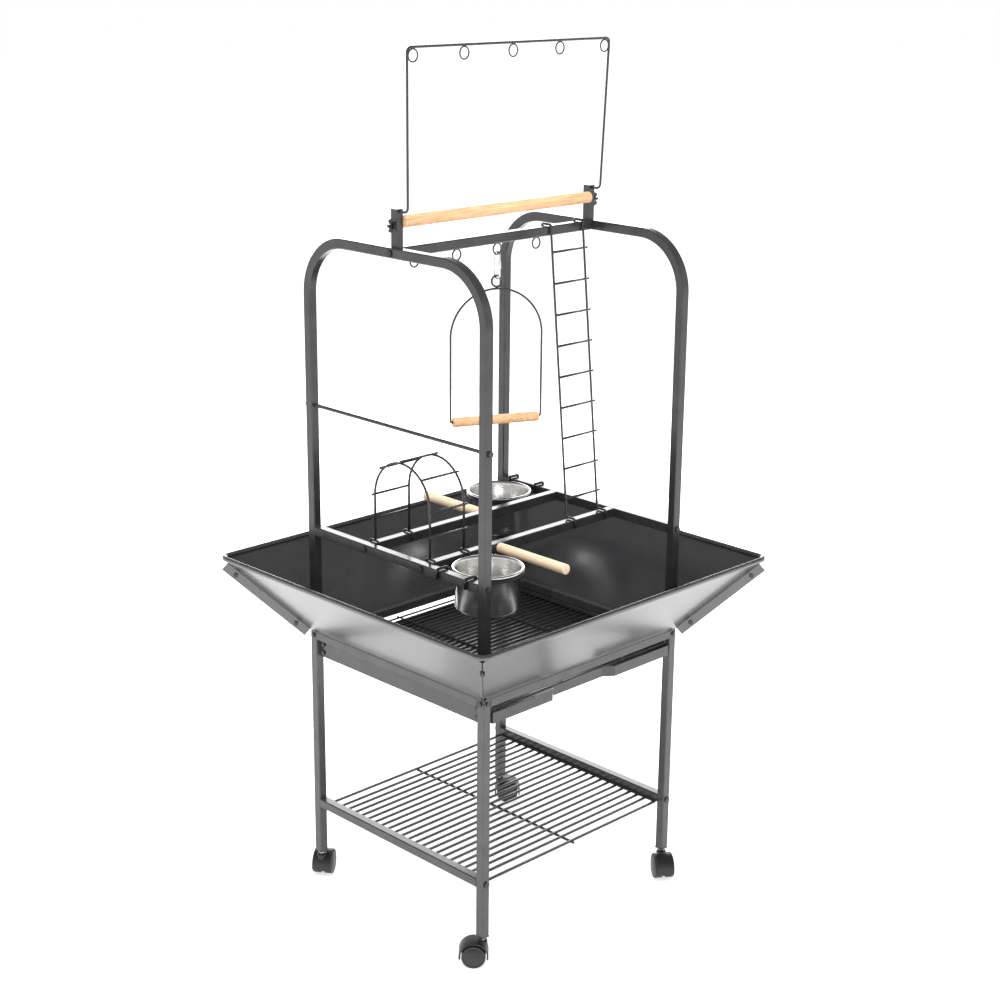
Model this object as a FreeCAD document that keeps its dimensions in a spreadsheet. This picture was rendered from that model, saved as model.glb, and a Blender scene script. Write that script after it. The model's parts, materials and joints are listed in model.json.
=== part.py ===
"""Parrot play stand: a play frame of square tube over a seed skirt, a pull-out tray and a rolling base.

Millimetres, +Z up.  The origin is on the floor, under the centre of the stand.
-Y is the front, where the tray pulls out; -X is the left side.
"""
import FreeCAD, Part
import Sketcher
import math
import os
import re

Vector = FreeCAD.Vector
Rotation = FreeCAD.Rotation
Constraint = Sketcher.Constraint

doc = FreeCAD.newDocument("play_stand")

# ------------------------------------------------------------------ driving dimensions
SIZES = [
    ("tube", 16.0, "side of the square steel tube"),
    ("tube_wall", 1.2, "wall of the square tube"),
    ("tube_corner", 1.5, "setback of the square tube's blunted edges"),
    ("plug_gap", 0.2, "clearance of a plug inside a tube, each side"),
    ("sheet", 1.0, "thickness of the sheet metal"),
    ("lift", 0.3, "clearance between parts that slide on each other"),
    ("weld", 0.3, "how far welded wires sink into each other"),
    ("hook_gap", 0.6, "clearance of a wire hook round a tube"),
    ("hook_drop", 12.8, "reach of a wire hook down the side of a tube"),
    # legs and base frame
    ("leg_x", 223.0, "half spacing of the legs, across"),
    ("leg_y", 205.5, "half spacing of the legs, front to back"),
    ("leg_foot", 52.0, "height of the legs' lower ends"),
    ("base_top", 470.0, "height of the base frame's top"),
    ("plug_length", 80.0, "length of the plug that joins a leg and a post"),
    ("shelf_height", 155.0, "height of the top of the shelf rails"),
    ("shelf_drop", 14.5, "depth of the shelf's wires under the top of the rails"),
    ("shelf_wire", 2.2, "radius of the shelf's wires"),
    ("shelf_bars", 21, "number of wires across the shelf"),
    # tray, grille and runners
    ("runner_low", 423.5, "height of the underside of the tray runners"),
    ("runner_out", 222.6, "distance of the runners' outside face from the middle"),
    ("runner_ledge", 20.0, "width of the ledge that carries the tray"),
    ("grille_ledge", 14.0, "width of the ledge that carries the grille"),
    ("tray_half", 211.0, "half width of the tray"),
    ("tray_back", 190.0, "distance of the tray's back wall from the middle"),
    ("tray_height", 18.2, "height of the tray's walls"),
    ("recess_depth", 13.0, "depth of the finger recess in the tray's front"),
    ("recess_mouth", 75.5, "half width of the finger recess at its mouth"),
    ("recess_floor", 58.5, "half width of the finger recess inside"),
    ("grille_cross_left", 48.0, "distance of the grille's left cross wire from the middle"),
    ("grille_cross_right", 98.0, "distance of the grille's right cross wire from the middle"),
    ("grille_wire", 1.6, "radius of the grille's wires"),
    ("grille_bars", 32, "number of bars across the grille"),
    ("grille_half", 213.5, "half length of the grille's bars"),
    ("grille_back", 196.0, "distance of the last bar from the middle"),
    ("grille_front", 208.0, "distance of the first bar from the middle"),
    # seed skirt
    ("skirt_reach_x", 337.0, "distance of the side rims from the middle"),
    ("skirt_reach_y", 318.4, "distance of the front and rear rims from the middle"),
    ("skirt_top", 598.6, "height of the rim's centre"),
    ("rim", 4.0, "radius of the rolled rim"),
    ("rim_corner", 16.0, "plan radius of the rim at the skirt's corners"),
    ("flange", 16.0, "width of the flanges that join two panels"),
    ("skirt_lip", 7.0, "width of the skirt's lip on the base frame"),
    # play frame
    ("rail_top", 658.0, "height of the top of the play rails"),
    ("cross_y", 68.5, "distance of the cross rails from the middle"),
    ("frame_top", 1152.0, "height of the top of the side frames"),
    ("bend", 90.0, "centreline radius of the side frames' bends"),
    ("joint_y", 5.0, "distance of the side frames' joint behind the front"),
    ("rod_height", 867.0, "height of the round cross rod"),
    ("rod", 3.0, "radius of the round cross rod"),
    ("ring_wire", 1.2, "radius of the wire of the hanging rings"),
    ("ring", 9.0, "centreline radius of the rings under the top bar"),
    ("ring_step", 90.0, "spacing of the rings under the top bar"),
    # perches
    ("perch", 9.5, "radius of the top perch"),
    ("perch_height", 1191.0, "height of the top perch"),
    ("perch_y", 5.0, "distance of the top perch in front of the bar"),
    ("post_width", 13.0, "side of the perch posts, across"),
    ("post_x", 215.4, "distance of the perch posts from the middle"),
    ("perch_bolt_y", 1.5, "distance of the perch's bolts in front of the bar"),
    ("perch_bolt_height", 1186.0, "height of the perch's bolts"),
    ("post_top", 1211.0, "height of the top of the perch posts"),
    ("low_perch", 8.5, "radius of the low perches"),
    ("front_perch_x", 64.0, "distance of the front perch, left of the middle"),
    ("rear_perch_x", 46.0, "distance of the rear perch, right of the middle"),
    ("front_perch_length", 151.5, "length of the front perch"),
    ("rear_perch_length", 146.0, "length of the rear perch"),
    # toy hanger
    ("hanger_wire", 2.0, "radius of the toy hanger's wire"),
    ("hanger_top", 1452.0, "height of the toy hanger's top wire"),
    ("hanger_half", 221.5, "half width of the toy hanger"),
    ("hanger_lean", 7.0, "forward lean of the toy hanger over its height"),
    ("hanger_out", 25.0, "reach of the toy hanger's feet in front of the posts"),
    ("hanger_ring", 9.5, "centreline radius of the toy hanger's rings"),
    ("hanger_step", 105.0, "spacing of the toy hanger's rings"),
    # ladder and bridge
    ("ladder_wire", 2.0, "radius of the ladder's and bridge's wires"),
    ("ladder_left", 114.0, "distance of the ladder's left rail, right of the middle"),
    ("ladder_right", 191.0, "distance of the ladder's right rail, right of the middle"),
    ("ladder_rungs", 9, "number of rungs on the ladder"),
    ("rung_step", 52.1, "rise from one rung to the next"),
    ("rung_rise", 34.7, "height of the lowest rung above the play rails"),
    ("rung_out", 3.5, "overhang of a rung past its rail"),
    ("bridge_left", 209.0, "distance of the bridge's outer arch, left of the middle"),
    ("bridge_right", 135.0, "distance of the bridge's inner arch, left of the middle"),
    ("bridge_radius", 66.0, "centreline radius of the bridge's arches"),
    ("bridge_rise", 81.0, "height where the bridge's arches begin, above the play rails"),
    # cups
    ("cup", 53.0, "outside radius of the cups"),
    ("cup_rim", 58.5, "outside radius of the cups' rims"),
    ("cup_depth", 73.0, "depth of the cups"),
    ("cup_top", 656.5, "height of the cups' rims"),
    ("cup_x", 154.0, "distance of the cups from the middle, across"),
    ("cup_front_y", 142.0, "distance of the front cup in front of the middle"),
    ("cup_rear_y", 146.0, "distance of the rear cup behind the middle"),
    ("cup_sheet", 0.8, "thickness of the cups' sheet"),
    ("cup_gap", 0.4, "clearance between a cup and its holder"),
    ("holder_hook", 32.0, "distance of a holder's hooks from its middle"),
    ("holder_wire", 2.5, "radius of the cup holders' wire"),
    # swing
    ("swing_wire", 1.8, "radius of the swing's wire"),
    ("swing_half", 79.0, "half width of the swing's arch"),
    ("swing_apex", 1061.0, "height of the arch's apex"),
    ("swing_spring", 988.0, "height where the swing's arch begins"),
    ("swing_eye", 9.0, "centreline radius of the swing's eye"),
    ("link_wire", 1.8, "radius of the link's wire"),
    ("link_half", 5.4, "centreline radius of the link's ends"),
    ("swing_perch", 8.0, "radius of the swing's perch"),
    ("swing_perch_half", 74.4, "half length of the swing's perch"),
    ("swing_height", 841.5, "height of the swing's perch"),
    ("swing_angle", 25.3, "turn of the swing about the vertical, degrees"),
    # casters
    ("wheel", 20.0, "radius of the caster wheels"),
    ("wheel_half", 17.5, "half width over a pair of wheels"),
    ("wheel_gap", 3.6, "distance of each wheel from the middle of the pair"),
    ("wheel_proud", 1.5, "how far the wheels stand out of the hood, each side"),
    ("wheel_bevel", 1.8, "bevel round the edge of a wheel"),
    ("web_gap", 0.6, "clearance between a wheel and the hood's middle web"),
    ("trail", 14.0, "distance of the wheels' axle behind the swivel"),
    ("hood", 24.5, "outside radius of the caster hoods"),
    ("hood_wall", 2.6, "wall of the caster hoods"),
    ("stem", 4.0, "radius of the casters' stems"),
    ("neck", 5.0, "radius of the collar on the casters' stems"),
    ("collar", 5.0, "height of the collar on the casters' stems"),
    ("stem_gap", 0.06, "radial clearance of a stem in its socket"),
    ("axle", 2.5, "radius of the caster axles"),
    ("axle_gap", 0.06, "radial clearance of an axle in its hood"),
    ("lip", 2.0, "thickness of the socket's lip under a leg"),
    # fasteners
    ("bolt_head", 5.0, "radius of the frame bolts' heads"),
    ("bolt", 2.5, "radius of the frame bolts"),
    ("screw_head", 3.6, "radius of the sheet screws' heads"),
    ("screw_low", 25.0, "distance of the lower flange screw from the skirt's foot"),
    ("screw_high", 39.0, "distance of the upper flange screw from the rim"),
    ("wing", 10.0, "width of a wing of the wing nuts"),
    ("wing_lean", 25.0, "lean of the wings, degrees"),
    ("head_height", 2.4, "height of a bolt's or screw's head"),
]

sheet = doc.addObject("Spreadsheet::Sheet", "Sizes")
for row, (alias, value, meaning) in enumerate(SIZES, 1):
    sheet.set("A%d" % row, meaning)
    sheet.set("B%d" % row, str(value))
    sheet.setAlias("B%d" % row, alias)
doc.recompute()
ALIASES = {alias for alias, value, meaning in SIZES}


def linked(text):
    """The expression with every alias written as a cell of the sheet."""
    return re.sub(r"[a-z][a-z_]*", lambda word: "Sizes." + word.group(0)
                  if word.group(0) in ALIASES else word.group(0), str(text))


def value(text):
    """The number that an expression in the sheet's aliases stands for."""
    return float(sheet.evalExpression(linked(text)))


# ------------------------------------------------------------------ document helpers
NODES = []
WIRE_SIDES = 6
WIRE_REACH = 1 / math.cos(math.pi / WIRE_SIDES)
SMALL_SIDES = 12
WHEEL_SIDES = 24
RING_SIDES = 16
BEND_STEP = 30.0
ARCH_STEP = 10.0
SIDES = {"left": -1, "right": 1}
ENDS = {"front": -1, "rear": 1}
ALONG = {"X": ((0, 1, 0), 90), "Y": ((1, 0, 0), -90), "Z": ((0, 0, 1), 0)}


def node(item):
    """Marks an object as a sub-part that is written under its label."""
    NODES.append(item)
    return item


def bind(item, name, text):
    item.setExpression(name, linked(text))


def place(item, at, turn=ALONG["Z"]):
    """Puts an object at three expressions, turned by (axis, degrees)."""
    item.Placement = FreeCAD.Placement(Vector(), Rotation(Vector(*turn[0]), turn[1]))
    for axis, text in zip("xyz", at):
        bind(item, "Placement.Base." + axis, text)
    return item


def new_body(label):
    body = doc.addObject("PartDesign::Body", label)
    body.Label = label
    return body


def sketch_on(body, role, name):
    """A sketch on one of the body's own origin planes."""
    sketch = body.newObject("Sketcher::SketchObject", name)
    plane = next(item for item in body.Origin.OriginFeatures if item.Role == role)
    sketch.AttachmentSupport = [(plane, "")]
    sketch.MapMode = "FlatFace"
    return sketch


def dimension(sketch, kind, where, start, text):
    """A named dimension of a sketch, bound to an expression."""
    index = sketch.addConstraint(Constraint(kind, *where, start))
    name = "d%d" % index
    sketch.renameConstraint(index, name)
    bind(sketch, "Constraints." + name, text)


def outline(sketch, points):
    """A closed polygon whose corners are pairs of expressions."""
    corners = [Vector(value(across), value(up), 0) for across, up in points]
    first = sketch.GeometryCount
    count = len(points)
    for index in range(count):
        sketch.addGeometry(Part.LineSegment(corners[index], corners[(index + 1) % count]), False)
    for index, (across, up) in enumerate(points):
        line = first + index
        sketch.addConstraint(Constraint("Coincident", line, 2, first + (index + 1) % count, 1))
        dimension(sketch, "DistanceX", (-1, 1, line, 1), corners[index].x, across)
        dimension(sketch, "DistanceY", (-1, 1, line, 1), corners[index].y, up)


def tube_section(body, side="tube"):
    """The hollow square section of a tube with blunted edges, on the body's XY plane."""
    section = sketch_on(body, "XY_Plane", body.Label + "_section")
    out, flat = "(%s / 2)" % side, "(%s / 2 - tube_corner)" % side
    quarter = [(out, "-" + flat), (out, flat), (flat, out), ("-" + flat, out)]
    outline(section, quarter + [("-" + out, flat), ("-" + out, "-" + flat), ("-" + flat, "-" + out),
                                (flat, "-" + out)])
    half = "(%s / 2 - tube_wall)" % side
    outline(section, [("-" + half, "-" + half), (half, "-" + half), (half, half), ("-" + half, half)])
    return section


def pad(body, sketch, length, name="pad", midplane=False):
    doc.recompute()
    feature = body.newObject("PartDesign::Pad", body.Label + "_" + name)
    feature.Profile = sketch
    bind(feature, "Length", length)
    if midplane:
        feature.SideType = "Symmetric"
    return feature


def drill(body, role, radius, across, up, name="hole"):
    """A small hole with flat facets right through the body, square to one of its planes."""
    sketch = sketch_on(body, role, body.Label + "_" + name)
    corners = corner_ring(1.0, 0, SMALL_SIDES)[:-1]
    outline(sketch, [("%s + (%s) * %.4f" % (across, radius, corner.x),
                      "%s + (%s) * %.4f" % (up, radius, corner.y)) for corner in corners])
    doc.recompute()
    before = body.Shape.Volume
    cut = body.newObject("PartDesign::Pocket", body.Label + "_" + name + "_cut")
    cut.Profile = sketch
    cut.Type = "ThroughAll"
    cut.SideType = "Symmetric"
    doc.recompute()
    if body.Shape.Volume >= before:
        raise RuntimeError(body.Label + ": the hole cuts nothing")


def square_tube(label, length, at, along):
    """A straight piece of square tube that starts at a point and runs along an axis."""
    body = new_body(label)
    pad(body, tube_section(body), length)
    return node(place(body, at, ALONG[along]))


def block(name, sides, at):
    """A box whose sides and lowest corner are expressions."""
    item = doc.addObject("Part::Box", name)
    for prop, text in zip(("Length", "Width", "Height"), sides):
        bind(item, prop, text)
    return place(item, at)


def rod(name, radius, length, at, along="Z"):
    """A cylinder that starts at a point and runs along an axis."""
    item = doc.addObject("Part::Cylinder", name)
    bind(item, "Radius", radius)
    bind(item, "Height", length)
    return place(item, at, ALONG[along])


def prism(name, sides, radius, length, at, along="Z"):
    """A small round piece or hole with flat facets; the radius is over its corners."""
    item = doc.addObject("Part::Prism", name)
    item.Polygon = sides
    bind(item, "Circumradius", radius)
    bind(item, "Height", length)
    return place(item, at, ALONG[along])


def bore(name, sides, radius, length, at, along="Z"):
    """The same with the radius over its flats, for a hole that such a piece turns in."""
    return prism(name, sides, "(%s) * %.5f" % (radius, 1 / math.cos(math.pi / sides)), length, at, along)


def cut(name, base, tool):
    item = doc.addObject("Part::Cut", name)
    item.Base, item.Tool = base, tool
    return item


def fuse(name, pieces):
    item = doc.addObject("Part::MultiFuse", name)
    item.Shapes = pieces
    return item


def group(name, pieces):
    """Separate solids kept in one sub-part."""
    item = doc.addObject("Part::Compound", name)
    item.Links = pieces
    item.Label = name
    return node(item)


def formed(label, shape):
    """A sub-part whose shape is worked out from the sheet's sizes."""
    item = doc.addObject("Part::Feature", label)
    item.Shape = shape
    item.Label = label
    return node(item)


# ------------------------------------------------------------------ wire forms
def arc_points(centre, first, last, step):
    """Points on an arc between two points at the same distance from its centre."""
    from_centre, to_centre = first - centre, last - centre
    sweep = from_centre.getAngle(to_centre)
    axis = from_centre.cross(to_centre).normalize()
    count = max(1, math.ceil(math.degrees(sweep) / step - 0.001))
    return [centre + Rotation(axis, math.degrees(sweep) * index / count).multVec(from_centre)
            for index in range(count + 1)]


def wire_path(points, bend):
    """The points of a wire bent at each corner on one radius, in short straight steps."""
    result = [points[0]]
    for before, corner, after in zip(points, points[1:], points[2:]):
        back, ahead = (before - corner).normalize(), (after - corner).normalize()
        half_angle = back.getAngle(ahead) / 2
        reach = bend / math.tan(half_angle)
        centre = corner + (back + ahead).normalize() * (bend / math.sin(half_angle))
        result += arc_points(centre, corner + back * reach, corner + ahead * reach, BEND_STEP)
    return result + [points[-1]]


def wire_section(radius, at, ahead):
    """The section of a wire, square to its direction: a polygon with its flats at the wire's radius."""
    turn = Rotation(Vector(0, 0, 1), ahead)
    reach = radius * WIRE_REACH
    corners = []
    for index in range(WIRE_SIDES + 1):
        angle = 2 * math.pi * (index + 0.5) / WIRE_SIDES
        corners.append(at + turn.multVec(Vector(reach * math.cos(angle), reach * math.sin(angle), 0)))
    return Part.makePolygon(corners)


def swept(points, radius):
    """A wire through the points, mitred at each of them."""
    section = wire_section(radius, points[0], points[1] - points[0])
    return Part.makePolygon(points).makePipeShell([section], True, False, 1)


def wire_bar(start, end, radius):
    """A straight piece of wire."""
    return Part.Face(wire_section(radius, start, end - start)).extrude(end - start)


def wire_ring(centre, axis, radius, wire, sides=RING_SIDES):
    """A welded ring of wire about an axis."""
    side = Vector(0, 0, 1) if abs(axis.z) < 0.5 else Vector(1, 0, 0)
    return swept([centre + Rotation(axis, 360 * index / sides).multVec(side * radius)
                  for index in range(sides + 1)], wire)


def corner_ring(radius, height, sides):
    """The corners of a polygon about +Z, the first one repeated at the end."""
    angles = [2 * math.pi * index / sides for index in range(sides + 1)]
    return [Vector(radius * math.cos(angle), radius * math.sin(angle), height) for angle in angles]


def faceted_bar(radius, low, high, sides):
    """A short bar about +Z with flat facets and its corners on the radius."""
    return Part.Face(Part.makePolygon(corner_ring(radius, low, sides))).extrude(Vector(0, 0, high - low))


def turned(profile, sides):
    """A ring about +Z with flat facets, from a closed outline of (radius, height) over its corners."""
    angle = math.pi / sides
    reach = max(radius for radius, height in profile)
    corners = corner_ring(reach, 0, sides)
    out = Vector(math.cos(angle), math.sin(angle), 0) * math.cos(angle)
    section = [corners[0] + out * (radius - reach) + Vector(0, 0, height) for radius, height in profile]
    return Part.makePolygon(corners).makePipeShell([Part.makePolygon(section + section[:1])], True, False, 1)


def bar(start, end, radius):
    """A round bar."""
    return Part.makeCylinder(radius, (end - start).Length, start, end - start)


def joined(shapes):
    return shapes[0].multiFuse(shapes[1:]).removeSplitter()


# ------------------------------------------------------------------ legs and base frame
LEG_INSIDE_X = "(leg_x - tube / 2)"
LEG_INSIDE_Y = "(leg_y - tube / 2)"


def legs():
    for end, along in ENDS.items():
        for side, across in SIDES.items():
            at = ("%d * leg_x" % across, "%d * leg_y" % along, "leg_foot")
            square_tube("leg_%s_%s" % (end, side), "base_top - leg_foot", at, "Z")


def cross_tube(label, along, height):
    """A tube across the stand, between two legs."""
    at = ("-" + LEG_INSIDE_X, along, height)
    return square_tube(label, "2 * " + LEG_INSIDE_X, at, "X")


def side_tube(label, across, height):
    """A tube from front to back, between two legs."""
    at = (across, "-" + LEG_INSIDE_Y, height)
    return square_tube(label, "2 * " + LEG_INSIDE_Y, at, "Y")


def base_frame():
    for end, along in ENDS.items():
        cross_tube("base_rail_" + end, "%d * leg_y" % along, "base_top - tube / 2")
    for side, across in SIDES.items():
        side_tube("base_rail_" + side, "%d * leg_x" % across, "base_top - tube / 2")
        side_tube("shelf_rail_" + side, "%d * leg_x" % across, "shelf_height - tube / 2")


def tube_plugs():
    """The plugs inside the joints of the tubes: leg to post, side frame to side frame and bar end."""
    side = "(tube - 2 * tube_wall - 2 * plug_gap)"
    half = side + " / 2"
    plugs = []
    for end, along in ENDS.items():
        for side_name, across in SIDES.items():
            at = ("%d * leg_x - %s" % (across, half), "%d * leg_y - %s" % (along, half),
                  "base_top - plug_length / 2")
            plugs.append(block("leg_plug_%s_%s" % (end, side_name), (side, side, "plug_length"), at))
    for side_name, across in SIDES.items():
        middle = "%d * leg_x" % across
        centre = "(frame_top - tube / 2)"
        sleeve = block("sleeve_block_" + side_name, (side, "plug_length", side),
                       (middle + " - " + half, "-plug_length / 2 - joint_y", centre + " - " + half))
        hole = prism("sleeve_hole_" + side_name, SMALL_SIDES, "bolt + 2 * plug_gap", "2 * tube",
                     (middle + " - tube", "0", centre), "X")
        plugs.append(cut("frame_plug_" + side_name, sleeve, hole))
        start = "%d * (leg_x - tube / 2 - plug_length / 4) - plug_length / 4" % across
        end_block = block("bar_block_" + side_name, ("plug_length / 2", side, side),
                          (start, "-" + half, centre + " - " + half))
        thread = prism("bar_thread_" + side_name, SMALL_SIDES, "bolt + plug_gap", "plug_length",
                       (start + " - plug_length / 4", "0", centre), "X")
        plugs.append(cut("bar_plug_" + side_name, end_block, thread))
    group("tube_plugs", plugs)


def shelf_grid():
    """The wire shelf that hangs between the shelf rails."""
    radius, wires = value("shelf_wire"), int(value("shelf_bars"))
    half_x, half_y = value("leg_x - tube / 2"), value("leg_y - tube / 2")
    height = value("shelf_height - shelf_drop")
    frame = 2 * radius
    loop = [Vector(across * (half_x - radius), along * (half_y - radius), height)
            for across, along in ((-1, -1), (1, -1), (1, 1), (-1, 1))]
    shapes = [wire_bar(loop[0], loop[1], radius), wire_bar(loop[2], loop[3], radius)]
    for start, end in ((loop[1], loop[2]), (loop[3], loop[0])):
        inset = (end - start).normalize() * radius
        shapes.append(wire_bar(start + inset, end - inset, radius))
    step = 2 * (half_y - frame - radius) / (wires + 1)
    for index in range(1, wires + 1):
        along = -half_y + frame + radius + step * index
        shapes.append(wire_bar(Vector(frame - half_x, along, height), Vector(half_x - frame, along, height),
                               radius))
    below = height - frame
    shapes.append(wire_bar(Vector(0, -half_y, below), Vector(0, half_y, below), radius))
    formed("shelf_grid", Part.makeCompound(shapes))


# ------------------------------------------------------------------ tray, grille and runners
TRAY_FLOOR = "(runner_low + sheet + lift)"
GRILLE_SEAT = "(runner_low + 2 * sheet + 2 * lift + tray_height + sheet)"


def runners():
    """Folded channels between the legs: the lower ledge carries the tray, the upper the grille."""
    for side, across in SIDES.items():
        body = new_body("tray_runner_" + side)
        section = sketch_on(body, "XZ_Plane", body.Label + "_section")
        out, wall = "runner_out", "(runner_out - sheet)"
        under, seat = "(base_top - tube)", GRILLE_SEAT
        points = [(out, "runner_low"), (out, under), (out + " - grille_ledge", under),
                  (out + " - grille_ledge", under + " - sheet"), (wall, under + " - sheet"),
                  (wall, seat), (out + " - grille_ledge", seat), (out + " - grille_ledge", seat + " - sheet"),
                  (wall, seat + " - sheet"), (wall, "runner_low + sheet"),
                  (out + " - runner_ledge", "runner_low + sheet"), (out + " - runner_ledge", "runner_low")]
        outline(section, [("%d * (%s)" % (across, x), z) for x, z in points])
        pad(body, section, "2 * " + LEG_INSIDE_Y, midplane=True)
        node(body)


def tray():
    """A folded pan with a finger recess pressed into its front wall."""
    body = new_body("tray")
    plan = sketch_on(body, "XY_Plane", "tray_plan")
    front = "-(leg_y + tube / 2)"
    inside = "recess_depth - (leg_y + tube / 2)"
    outline(plan, [("-tray_half", front), ("-recess_mouth", front), ("-recess_floor", inside),
                   ("recess_floor", inside), ("recess_mouth", front), ("tray_half", front),
                   ("tray_half", "tray_back"), ("-tray_half", "tray_back")])
    solid = pad(body, plan, "tray_height")
    doc.recompute()
    top = max(range(len(solid.Shape.Faces)), key=lambda index: solid.Shape.Faces[index].CenterOfMass.z)
    shell = body.newObject("PartDesign::Thickness", "tray_shell")
    shell.Base = (solid, ["Face%d" % (top + 1)])
    shell.Reversed = True
    bind(shell, "Value", "sheet")
    node(place(body, ("0", "0", TRAY_FLOOR)))


def grille():
    """Bars across the stand, carried at their ends by the runners, with welded cross wires on top."""
    radius, bars = value("grille_wire"), int(value("grille_bars"))
    half, low = value("grille_half"), value(GRILLE_SEAT + " + lift + grille_wire")
    front, back = -value("grille_front"), value("grille_back")
    shapes = []
    for index in range(bars):
        along = front + (back - front) * index / (bars - 1)
        shapes.append(wire_bar(Vector(-half, along, low), Vector(half, along, low), radius))
    for across in (-value("grille_half - 3 * grille_wire"), -value("grille_cross_left"),
                   value("grille_cross_right"), value("grille_half - 3 * grille_wire")):
        high = low + 2 * radius
        shapes.append(wire_bar(Vector(across, front, high), Vector(across, back, high), radius))
    formed("grille", Part.makeCompound(shapes))


# ------------------------------------------------------------------ seed skirt
RIM_SWEEP = 41.0


def skirt_panel(reach, other_reach, half, other_half):
    """A panel that leans out over -Y, with a lip, a rolled rim and a flange at each end."""
    thick, rim, fold = value("sheet"), value("rim"), value("rim_corner")
    low, high = value("base_top + sheet"), value("skirt_top")
    along_x = Vector(1, 0, 0)
    slope = Vector(0, half - reach, high - low).normalize()
    outward = slope.cross(along_x).normalize()
    if outward.z > 0:
        outward = outward * -1
    clip = fold / 2

    def corner(sign, share):
        """A point on the line where two panels meet, from the lip (0) to the rim (1)."""
        return Vector(sign * (other_half + (other_reach - other_half) * share),
                      -half - (reach - half) * share, low + (high - low) * share)

    share = 1 - clip / (other_reach - other_half)
    points = [corner(-1, 0), corner(1, 0), corner(1, share),
              Vector(other_reach - fold, -reach, high), Vector(fold - other_reach, -reach, high),
              corner(-1, share)]
    plate = Part.Face(Part.makePolygon(points + points[:1])).extrude(outward * thick)
    inset = value("tube + lift")
    lip = Part.makeBox(2 * (other_half - inset), value("skirt_lip"), thick,
                       Vector(inset - other_half, -half - thick / 2, low - thick))
    shapes = [plate, lip]
    for sign in (-1, 1):
        base, top = corner(sign, 0), corner(sign, share)
        line = (top - base).normalize()
        diagonal = Vector(sign * (other_reach - other_half), half - reach, 0).normalize()
        inward = diagonal.cross(Vector(0, 0, 1)) * sign
        away = (diagonal - line * line.dot(diagonal)).normalize()
        flange = Part.makePolygon([base, top, top + away * value("flange"), base + away * value("flange"),
                                   base])
        shapes.append(Part.Face(flange).extrude(inward * thick))
    end = Rotation(Vector(0, 0, 1), RIM_SWEEP).multVec(Vector(0, -fold, 0))
    path = []
    for sign in (-1, 1):
        centre = Vector(sign * (other_reach - fold), fold - reach, high)
        corner_arc = arc_points(centre, centre + Vector(sign * end.x, end.y, 0),
                                centre - Vector(0, fold, 0), BEND_STEP / 2)
        path += corner_arc[::-sign]
    shapes.append(swept(path, rim))
    return joined(shapes)


def skirt():
    reach_x, reach_y = value("skirt_reach_x"), value("skirt_reach_y")
    half_x, half_y = value("leg_x + tube / 2"), value("leg_y + tube / 2")
    for label, degrees in (("front", 0), ("right", 90), ("rear", 180), ("left", 270)):
        if degrees % 180:
            panel = skirt_panel(reach_x, reach_y, half_x, half_y)
        else:
            panel = skirt_panel(reach_y, reach_x, half_y, half_x)
        panel.rotate(Vector(), Vector(0, 0, 1), degrees)
        formed("skirt_" + label, panel)


# ------------------------------------------------------------------ play frame
def side_frames():
    """Each side frame is two bent tubes that meet in the middle of the top."""
    for side, across in SIDES.items():
        for end, along in ENDS.items():
            body = new_body("side_frame_%s_%s" % (side, end))
            section = tube_section(body)
            path = sketch_on(body, "YZ_Plane", body.Label + "_path")
            rise, turn = value("frame_top - base_top - tube / 2 - bend"), value("bend")
            run = value("leg_y + %d * joint_y - bend" % along)
            path.addGeometry(Part.LineSegment(Vector(0, 0, 0), Vector(0, rise, 0)), False)
            circle = Part.Circle(Vector(turn, rise, 0), Vector(0, 0, 1), turn)
            path.addGeometry(Part.ArcOfCircle(circle, math.pi / 2, math.pi), False)
            path.addGeometry(Part.LineSegment(Vector(turn, rise + turn, 0),
                                              Vector(turn + run, rise + turn, 0)), False)
            path.addConstraint(Constraint("Coincident", 0, 1, -1, 1))
            path.addConstraint(Constraint("Vertical", 0))
            path.addConstraint(Constraint("Tangent", 0, 2, 1, 2))
            path.addConstraint(Constraint("Tangent", 1, 1, 2, 1))
            path.addConstraint(Constraint("Horizontal", 2))
            dimension(path, "DistanceY", (0, 1, 0, 2), rise, "frame_top - base_top - tube / 2 - bend")
            dimension(path, "Radius", (1,), turn, "bend")
            dimension(path, "DistanceX", (2, 1, 2, 2), run, "leg_y + %d * joint_y - bend" % along)
            doc.recompute()
            pipe = body.newObject("PartDesign::AdditivePipe", body.Label + "_tube")
            pipe.Profile = section
            pipe.Spine = (path, [])
            if side == "left":
                drill(body, "XZ_Plane", "rod + plug_gap", "0", "rod_height - base_top", "rod_hole")
            if end == "rear":
                drill(body, "YZ_Plane", "bolt + plug_gap", "leg_y", "frame_top - tube / 2 - base_top",
                      "bolt_hole")
            turn_round = ((0, 0, 1), 0 if end == "front" else 180)
            node(place(body, ("%d * leg_x" % across, "%d * leg_y" % along, "base_top"), turn_round))


def play_rails():
    for side, across in SIDES.items():
        side_tube("play_rail_" + side, "%d * leg_x" % across, "rail_top - tube / 2")
    for end, along in ENDS.items():
        cross_tube("play_rail_" + end, "%d * cross_y" % along, "rail_top - tube / 2")


def top_bar():
    """The bar between the side frames, with four rings welded under it."""
    tube = square_tube("top_bar_tube", "2 * " + LEG_INSIDE_X,
                       ("-" + LEG_INSIDE_X, "0", "frame_top - tube / 2"), "X")
    NODES.remove(tube)
    doc.recompute()
    radius, wire = value("ring"), value("ring_wire")
    height = value("frame_top - tube - ring - ring_wire + weld")
    rings = [wire_ring(Vector(step * value("ring_step"), 0, height), Vector(0, 1, 0), radius, wire)
             for step in (-2, -1, 0, 1)]
    formed("top_bar", joined([tube.Shape] + rings))


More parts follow.
